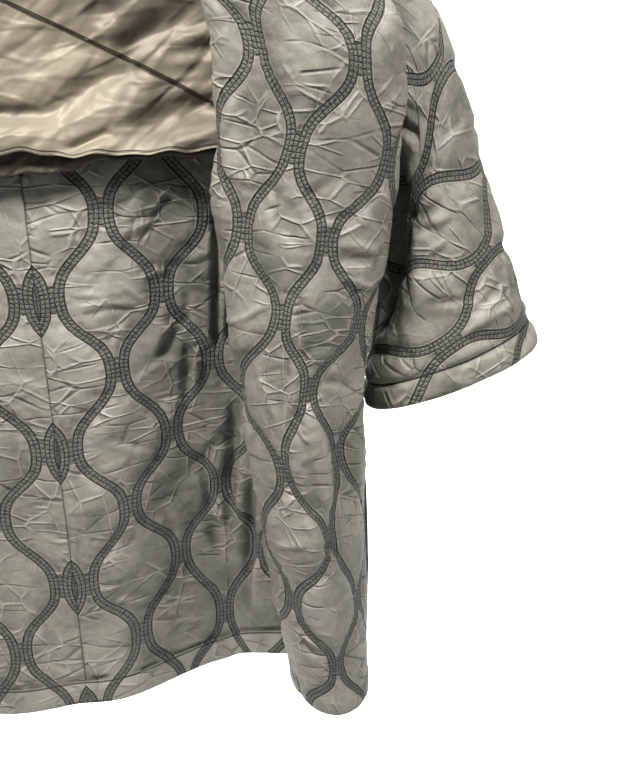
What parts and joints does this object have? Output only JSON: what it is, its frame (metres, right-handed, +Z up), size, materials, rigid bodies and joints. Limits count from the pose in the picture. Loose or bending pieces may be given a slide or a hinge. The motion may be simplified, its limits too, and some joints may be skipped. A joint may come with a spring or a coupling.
{
  "type": "quilted parka",
  "caption": "Open-fronted quilted parka with wide three-quarter sleeves, a lowered hood and a satin upper-back lining, hollow as worn.",
  "frame": {"origin": "middle of the neck opening, level with the nape, where the wearer's neck holds it up", "axes": "+Z up along the wearer's neck, -Y the way the wearer faces, +X the wearer's left"},
  "size_m": [0.96, 0.2503, 0.9914],
  "materials": {
    "quilting": "washed matt nylon, quilted with an onion wave of stitched bands",
    "satin": "soft satin sheen",
    "side_knit": "matt black rib knit",
    "hem_facing": "washed matt nylon, puckered"
  },
  "bodies": {
    "root": {"back_left": "quilting", "back_right": "quilting", "front_left": "quilting", "front_right": "quilting", "sleeve_left": "quilting", "sleeve_right": "quilting", "hood_left": "quilting", "hood_right": "quilting", "side_strip_left": "side_knit", "side_strip_right": "side_knit", "hem_facing_left": "hem_facing", "hem_facing_right": "hem_facing", "lining_yoke": "satin", "lining_body": "satin", "lining_under": "satin"}
  },
  "joints": []
}
